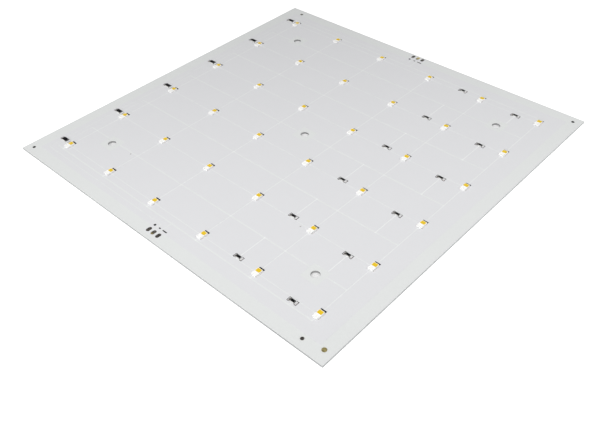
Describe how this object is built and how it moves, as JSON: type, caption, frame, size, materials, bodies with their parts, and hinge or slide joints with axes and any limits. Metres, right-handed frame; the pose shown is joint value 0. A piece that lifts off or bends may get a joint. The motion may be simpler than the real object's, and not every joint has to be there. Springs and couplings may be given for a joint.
{
  "type": "led panel",
  "caption": "Flat square metal-core light board with a grid of two-window LED packages, chip resistors, wire pads on opposite edges and round mounting holes.",
  "frame": {"origin": "centre of the board's underside", "axes": "+X along the rows of LEDs, +Y from the input-pad edge to the output-pad edge, +Z out of the lit face"},
  "size_m": [0.24, 0.24, 0.002],
  "materials": {
    "base_metal": "satin",
    "insulator": "matte",
    "copper_foil": "satin",
    "white_mask": "semi-gloss",
    "legend_ink": "matte",
    "pad_metal": "tarnished",
    "mark_metal": "tarnished",
    "gold_ring": "satin",
    "led_chip": "polished",
    "led_body": "matte",
    "warm_phosphor": "gloss",
    "cool_phosphor": "gloss",
    "lead_metal": "satin",
    "solder_metal": "satin",
    "chip_ceramic": "matte",
    "chip_coat": "semi-gloss",
    "cap_metal": "satin"
  },
  "bodies": {
    "root": {"base_plate": "base_metal", "dielectric_layer": "insulator", "positive_bus": "copper_foil", "warm_bus": "copper_foil", "cool_bus": "copper_foil", "string_copper_row_1": "copper_foil", "string_copper_row_2": "copper_foil", "string_copper_row_3": "copper_foil", "string_copper_row_4": "copper_foil", "string_copper_row_5": "copper_foil", "string_copper_row_6": "copper_foil", "solder_mask": "white_mask", "legend_ink": "legend_ink", "input_pads": "pad_metal", "output_pads": "pad_metal", "alignment_discs": "mark_metal", "test_ring": "gold_ring", "warm_chips": "led_chip", "cool_chips": "led_chip", "led_housings_row_1": "led_body", "led_housings_row_2": "led_body", "led_housings_row_3": "led_body", "led_housings_row_4": "led_body", "led_housings_row_5": "led_body", "led_housings_row_6": "led_body", "warm_windows_row_1": "warm_phosphor", "warm_windows_row_2": "warm_phosphor", "warm_windows_row_3": "warm_phosphor", "warm_windows_row_4": "warm_phosphor", "warm_windows_row_5": "warm_phosphor", "warm_windows_row_6": "warm_phosphor", "cool_windows_row_1": "cool_phosphor", "cool_windows_row_2": "cool_phosphor", "cool_windows_row_3": "cool_phosphor", "cool_windows_row_4": "cool_phosphor", "cool_windows_row_5": "cool_phosphor", "cool_windows_row_6": "cool_phosphor", "led_terminals_row_1": "lead_metal", "led_terminals_row_2": "lead_metal", "led_terminals_row_3": "lead_metal", "led_terminals_row_4": "lead_metal", "led_terminals_row_5": "lead_metal", "led_terminals_row_6": "lead_metal", "led_solder_row_1": "solder_metal", "led_solder_row_2": "solder_metal", "led_solder_row_3": "solder_metal", "led_solder_row_4": "solder_metal", "led_solder_row_5": "solder_metal", "led_solder_row_6": "solder_metal", "resistor_solder": "solder_metal", "jumper_solder": "solder_metal", "resistor_bodies": "chip_ceramic", "jumper_bodies": "chip_ceramic", "resistor_coats": "chip_coat", "jumper_coats": "chip_coat", "resistor_caps": "cap_metal", "jumper_caps": "cap_metal"}
  },
  "joints": []
}
